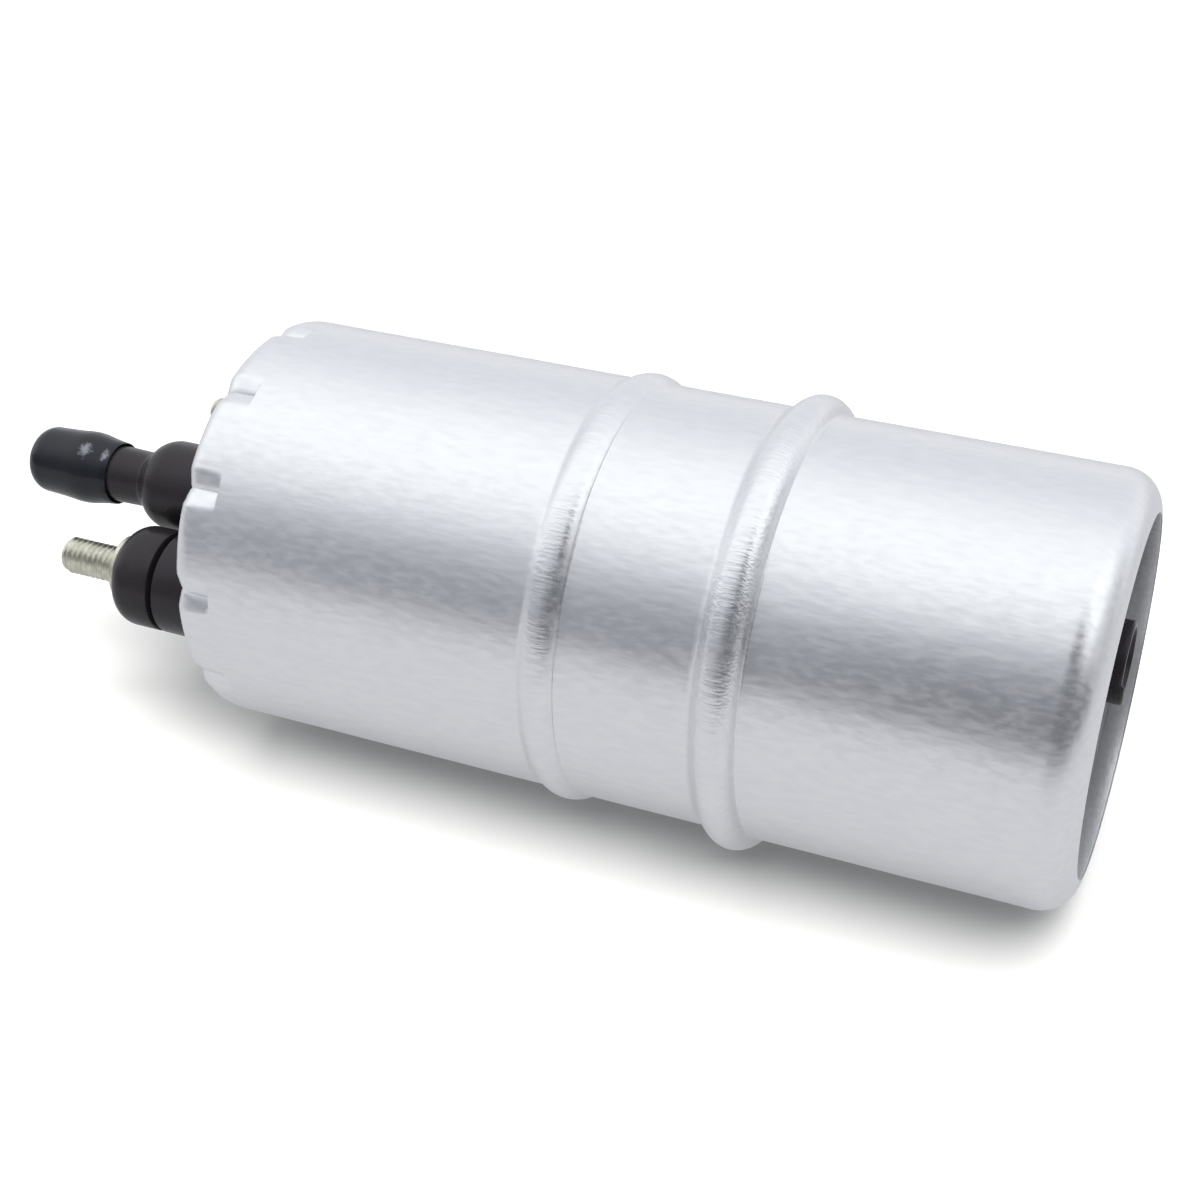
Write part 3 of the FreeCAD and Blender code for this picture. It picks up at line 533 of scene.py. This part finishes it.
# The two studs: rolled threads, nickel plated, one M5 and one M4 so that the wires can't be
# swapped. Each has a plain washer at its foot and its head inside the end cap.
nickel = Finish("nickel_plate", Metallic=1.0)
tarnish = nickel.noise(0.9, 3.0, 0.6)
burr = nickel.noise(7.0, 2.0, 0.6)
straw = nickel.mix(tarnish.between(0.35, 0.7), (0.62, 0.60, 0.49, 1), (0.80, 0.79, 0.69, 1))
nickel.set(Base_Color=straw, Roughness=0.30 + 0.14 * burr)
nickel.bump((burr, 0.03))

stud_rise = 0.5
stud_nose = 0.72
far_boss = 8.4
far_front = rim - far_boss
washer_radius = 4.3
washer_thickness = 0.8


def threaded_stud(name, foot, length, radius, pitch, depth, y, z):
    """A rolled thread with rounded crests, fading out at a chamfered tip."""
    per_turn = 72
    per_pitch = 14
    rows = int(length / pitch * per_pitch)
    outline = [(foot, 0.0)] + run(foot, foot - length, radius, rows) + [(foot - length - 0.02, 0.0)]

    def helix(x, r, angle):
        if r == 0.0:
            return x, r
        turn = ((x - foot) / pitch - angle / 360.0) % 1.0
        ridge = min(1.0, max(0.0, 1.25 * abs(2 * turn - 1) - 0.1))
        thread = r - depth * (1 - ridge)
        from_tip = x - (foot - length)
        if from_tip >= stud_nose:
            return x, thread
        rounding = math.sqrt(max(0.0, stud_nose ** 2 - (stud_nose - from_tip) ** 2))
        return x, min(radius - depth + 0.05 - stud_nose + rounding, thread)

    return turned_mesh(name, outline, per_turn, y, z, shape=helix, closed=False, sharp=60.0)


for side, face, length, radius, pitch, depth, bore, y, z in (
        ("near", bush_front, 10.9, 2.42, 0.8, 0.28, 2.44, near_y, near_z + stud_rise),
        ("far", far_front, 9.1, 1.95, 0.7, 0.30, 1.97, -near_y, -near_z + stud_rise)):
    stud = threaded_stud(side + "_screw", face + 1.0, length, radius, pitch, depth, y, z)
    dress(stud, nickel.material, "pump_body", "terminal_nickel", side + "_stud")
    ring = placed(face, [(0.0, bore), (0.0, washer_radius - 0.1), (-0.1, washer_radius)])
    ring += placed(face - washer_thickness, [(0.2, washer_radius), (0.0, washer_radius - 0.2)])
    ring += [(face - washer_thickness, bore)]
    washer = turned_mesh(side + "_washer_ring", ring, 96, y, z, sharp=30.0)
    dress(washer, nickel.material, "pump_body", "terminal_nickel", side + "_washer")


# The pieces inside the can. None shows while it is closed, and each keeps its solid and takes
# the finish of its own stuff: ground steel, sintered iron, bronze, copper, ferrite or carbon.
def worked_metal(name, dark, light, roughness, streaks, metallic):
    """A finish with tool marks or grain, drawn out by the stretch of its streaks."""
    finish = Finish(name, Metallic=metallic)
    marks = finish.noise(1.0, 3.0, 0.6, finish.stretched(*streaks))
    grit = finish.noise(5.0, 2.0, 0.5)
    finish.set(Base_Color=finish.mix(marks, dark + (1.0,), light + (1.0,)),
               Roughness=roughness + 0.15 * grit)
    finish.bump((marks, 0.05), (grit, 0.03))
    return finish.material


inner_finishes = {
    "die_cast": casting.material,
    "black_moulding": moulding.material,
    "terminal_nickel": nickel.material,
    "plated_steel": plate.material,
    "cap_plastic": rubbery.material,
}
for slot, name, dark, light, roughness, streaks, metallic in (
        ("tool_steel", "ground_steel",
         (0.50, 0.50, 0.51), (0.62, 0.62, 0.63), 0.25, (3.0, 0.3, 0.3), 1.0),
        ("sintered_steel", "sintered_iron",
         (0.22, 0.22, 0.225), (0.34, 0.34, 0.34), 0.45, (2.0, 2.0, 2.0), 1.0),
        ("bronze", "sintered_bronze",
         (0.50, 0.30, 0.14), (0.64, 0.42, 0.22), 0.38, (2.0, 2.0, 2.0), 1.0),
        ("spring_steel", "spring_wire",
         (0.42, 0.43, 0.45), (0.58, 0.59, 0.61), 0.28, (0.5, 3.0, 3.0), 1.0),
        ("lamination", "stacked_sheet",
         (0.25, 0.26, 0.28), (0.45, 0.46, 0.48), 0.42, (9.0, 0.2, 0.2), 1.0),
        ("copper", "enamelled_copper",
         (0.55, 0.22, 0.10), (0.76, 0.38, 0.20), 0.30, (0.4, 4.0, 4.0), 1.0),
        ("ferrite", "ferrite",
         (0.045, 0.045, 0.05), (0.08, 0.08, 0.085), 0.55, (2.0, 2.0, 2.0), 0.2),
        ("carbon", "pressed_carbon",
         (0.04, 0.04, 0.042), (0.07, 0.068, 0.07), 0.45, (3.0, 3.0, 3.0), 0.3),
        ("phenolic", "phenolic",
         (0.10, 0.05, 0.025), (0.16, 0.085, 0.045), 0.42, (1.0, 1.0, 1.0), 0.0),
        ("seal_rubber", "seal_rubber",
         (0.012, 0.012, 0.012), (0.022, 0.022, 0.022), 0.55, (1.0, 1.0, 1.0), 0.0)):
    inner_finishes[slot] = worked_metal(name, dark, light, roughness, streaks, metallic)
for entry in frame["record"]["subparts"]:
    solid = frame["nodes"][entry["node"]]
    solid.data.materials.clear()
    solid.data.materials.append(inner_finishes[entry["material_slot"]])


# The springs behind the two valve balls and the two brushes, wound from hard wire with their end
# turns closed, and the brushes' leads of three twisted copper strands. The real ones shorten as a
# ball lifts or a worn brush goes back; these keep their length.
def wound_wire(name, node, coil_radius, wire_radius, turns, closed_turns, strands=1):
    """Wire wound along X between the ends of a node's box, as one or more strands."""
    low, high = (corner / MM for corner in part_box(node))
    y = (low.y + high.y) / 2
    z = (low.z + high.z) / 2
    steps = int(turns * 36)
    sides = 10
    free_turns = turns - 2 * closed_turns
    closed_rise = 2 * wire_radius * closed_turns
    free_length = high.x - low.x - 2 * wire_radius - 2 * closed_rise
    points = []
    faces = []
    for strand in range(strands):
        first = len(points)
        for step in range(steps + 1):
            turn = turns * step / steps
            at_start = min(turn, closed_turns) * 2 * wire_radius
            at_end = max(0.0, turn - turns + closed_turns) * 2 * wire_radius
            free = min(free_turns, max(0.0, turn - closed_turns)) / free_turns
            x = low.x + wire_radius + at_start + free * free_length + at_end
            around = 2 * math.pi * (turn + strand / strands)
            outward = Vector((0.0, math.cos(around), math.sin(around)))
            centre = Vector((x, y, z)) + outward * coil_radius
            for side in range(sides):
                a = 2 * math.pi * side / sides
                along = Vector((math.sin(a), 0.0, 0.0))
                points.append((centre + (outward * math.cos(a) + along) * wire_radius) * MM)
        for step in range(steps):
            for side in range(sides):
                a = first + step * sides + side
                b = first + step * sides + (side + 1) % sides
                faces.append((a, b, b + sides, a + sides))
        faces.append(tuple(first + side for side in reversed(range(sides))))
        faces.append(tuple(first + steps * sides + side for side in range(sides)))
    mesh = bpy.data.meshes.new(name)
    mesh.from_pydata(points, [], faces)
    mesh.validate()
    return finish_mesh(name, mesh, 60.0)


def shorten(piece, node, joint):
    """Works out the share a piece would shorten by with its joint's travel, but doesn't use it, and gives the
    piece its own mesh.
    """
    low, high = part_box(node)
    travel = max(abs(limit) for limit in joint_limits[joint])
    1 - travel / (high.x - low.x)
    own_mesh(piece)


joint_limits = {joint["name"]: joint["range_m"] for joint in frame["joints"] if "range_m" in joint}
for node, joint, held_end, coil_radius, wire_radius, turns in (
        ("near_brush_spring", "near_brush_slide", "outlet", 2.0, 0.22, 6.5),
        ("far_brush_spring", "far_brush_slide", "outlet", 2.0, 0.22, 6.5),
        ("check_spring", "outlet_check_slide", "outlet", 2.2, 0.20, 7.0),
        ("relief_spring", "relief_check_slide", "inlet", 1.2, 0.16, 3.0)):
    spring = wound_wire(node + "_wire", node, coil_radius, wire_radius, turns, 0.75)
    dress(spring, inner_finishes["spring_steel"], "pump_body", "spring_steel", node)
    shorten(spring, node, joint)
for side in ("near", "far"):
    node = side + "_brush_lead"
    lead = wound_wire(node + "_strands", node, 0.26, 0.23, 2.0, 0.0, strands=3)
    dress(lead, inner_finishes["copper"], "pump_body", "copper", node)
    shorten(lead, node, side + "_brush_slide")


# The room round the table, which lights the pump and is what its metal mirrors: bright overhead,
# darker in front and darkest towards the inlet end. To the camera, and behind the pump, it is white.
world = bpy.data.worlds.new("studio")
bpy.context.scene.world = world
world.use_nodes = True
sky = world.node_tree
sky.nodes.clear()
direction = add_node(sky, "ShaderNodeTexCoord", output=0)
parts = add_node(sky, "ShaderNodeSeparateXYZ", None, {0: direction}).socket.node.outputs
sideways = Signal(parts[0])
turn = add_node(sky, "ShaderNodeMath", {"operation": "ARCTAN2"},
                {0: Signal(parts[2]), 1: 0 - Signal(parts[1])})
share = turn / (2 * math.pi) + 0.5

# Levels of light by the angle above the table, from the front over the top to the back. A ramp's
# colours end at 1, so it holds half of each level, a little bluer where the room is darker.
over_and_behind = ((50, 0.90), (66, 1.14), (84, 1.22), (104, 1.16), (122, 0.98), (145, 0.82),
                   (170, 0.84), (180, 0.86))
toward_outlet_end = ((-180, 0.80), (-90, 0.75), (-8, 0.50), (2, 0.31), (18, 0.35), (34, 0.54))
toward_inlet_end = ((-180, 0.80), (-90, 0.75), (-8, 0.22), (2, 0.19), (18, 0.17), (34, 0.28), (50, 0.78))
half_grey = (0.493, 0.504, 0.521)
half_cool = (-0.012, 0.0, 0.040)


def glow(levels):
    stops = []
    for angle, level in levels:
        tint = tuple(level * (grey + cool * (1.0 - level)) for grey, cool in zip(half_grey, half_cool))
        stops.append((angle / 360.0 + 0.5, tint))
    return add_node(sky, "ShaderNodeValToRGB", {"stops": stops}, {0: share})


near_inlet = sideways.between(-0.34, -0.06)
glow_here = add_node(sky, "ShaderNodeMix", {"data_type": "RGBA"},
                     {0: near_inlet, 6: glow(toward_outlet_end + over_and_behind),
                      7: glow(toward_inlet_end + over_and_behind[1:])}, 2)
beside = 1.0 + 0.15 * sideways.between(0.3, 0.55) - 0.55 * sideways.between(0.70, 0.92)
room = add_node(sky, "ShaderNodeBackground", None, {"Color": glow_here, "Strength": 2.0 * beside})
white_wall = add_node(sky, "ShaderNodeBackground", None, {"Color": (1, 1, 1, 1), "Strength": 1.0})
rays = add_node(sky, "ShaderNodeLightPath").socket.node.outputs
behind = turn.between(2.9, 3.1)
white_here = Signal(rays["Is Camera Ray"]) + Signal(rays["Is Transmission Ray"])
white_here = white_here + Signal(rays["Is Glossy Ray"]) * behind
surround = add_node(sky, "ShaderNodeMixShader", None, {0: white_here, 1: room, 2: white_wall})
add_node(sky, "ShaderNodeOutputWorld", None, {0: surround})


# The table: a round white board that keeps the pump's shadow. Metal mirrors it at its own level,
# a little below white.
table_radius = 0.55
table_corners = 120
table_turns = [2 * math.pi * index / table_corners for index in range(table_corners)]
table_edge = [(table_radius * math.cos(a), table_radius * math.sin(a), 0.0) for a in table_turns]
table_mesh = bpy.data.meshes.new("table")
table_mesh.from_pydata(table_edge, [], [tuple(range(table_corners))])
table = bpy.data.objects.new("table", table_mesh)
table.location.z = cad_box[0].z
bpy.context.scene.collection.objects.link(table)
surface = bpy.data.materials.new("white_table")
surface.use_nodes = True
table_tree = surface.node_tree
table_tree.nodes.clear()
table_mesh.materials.append(surface)


def table_skin(colour, lift):
    """A matt colour with some light of its own."""
    matt = add_node(table_tree, "ShaderNodeBsdfDiffuse", None, {"Color": colour})
    own_light = add_node(table_tree, "ShaderNodeEmission", None,
                         {"Color": (0.97, 0.98, 1, 1), "Strength": lift})
    return add_node(table_tree, "ShaderNodeAddShader", None, {0: matt, 1: own_light})


paths = add_node(table_tree, "ShaderNodeLightPath").socket.node.outputs
mirrored = Signal(paths["Is Glossy Ray"]) + Signal(paths["Is Transmission Ray"])
seen_skin = table_skin((0.65, 0.65, 0.63, 1), 0.0)
mirrored_skin = table_skin((0.16, 0.16, 0.165, 1), 0.37)
top = add_node(table_tree, "ShaderNodeMixShader", None, {0: mirrored, 1: seen_skin, 2: mirrored_skin})
add_node(table_tree, "ShaderNodeOutputMaterial", None, {0: top})


# The lamp: one wide soft box above and in front, which gives the shadow its soft edge. The metal
# doesn't mirror it.
lamp_data = bpy.data.lights.new("overhead_softbox", "AREA")
lamp_data.shape = "RECTANGLE"
lamp_data.size = 0.68
lamp_data.size_y = 0.62
lamp_data.energy = 11.0
lamp = bpy.data.objects.new("overhead_softbox", lamp_data)
lamp.visible_glossy = False
lamp.location = (0.12, -0.285, 0.72)
lamp.rotation_euler = lamp.location.to_track_quat("Z", "Y").to_euler()
bpy.context.scene.collection.objects.link(lamp)


# A dark card stands to the right in front of the pump. It shows only in reflections, as the dark
# streak on the inlet curl.
card_mesh = bpy.data.meshes.new("black_card")
card_corners = [(-0.10, 0, 0), (0.095, 0, 0), (0.045, 0, 0.44), (-0.055, 0, 0.44)]
card_mesh.from_pydata(card_corners, [], [(0, 1, 2, 3)])
card = bpy.data.objects.new("black_card", card_mesh)
card.location = (0.165, -0.19, cad_box[0].z + 0.001)
card.rotation_euler.z = math.radians(25.0)
card.visible_camera = False
card.visible_diffuse = False
card.visible_shadow = False
bpy.context.scene.collection.objects.link(card)
felt = bpy.data.materials.new("black_felt")
felt.use_nodes = True
felt_shader = felt.node_tree.nodes["Principled BSDF"]
felt_shader.inputs["Base Color"].default_value = (0.125, 0.13, 0.14, 1)
felt_shader.inputs["Roughness"].default_value = 0.9
card_mesh.materials.append(felt)

bpy.context.scene.view_settings.view_transform = "Standard"
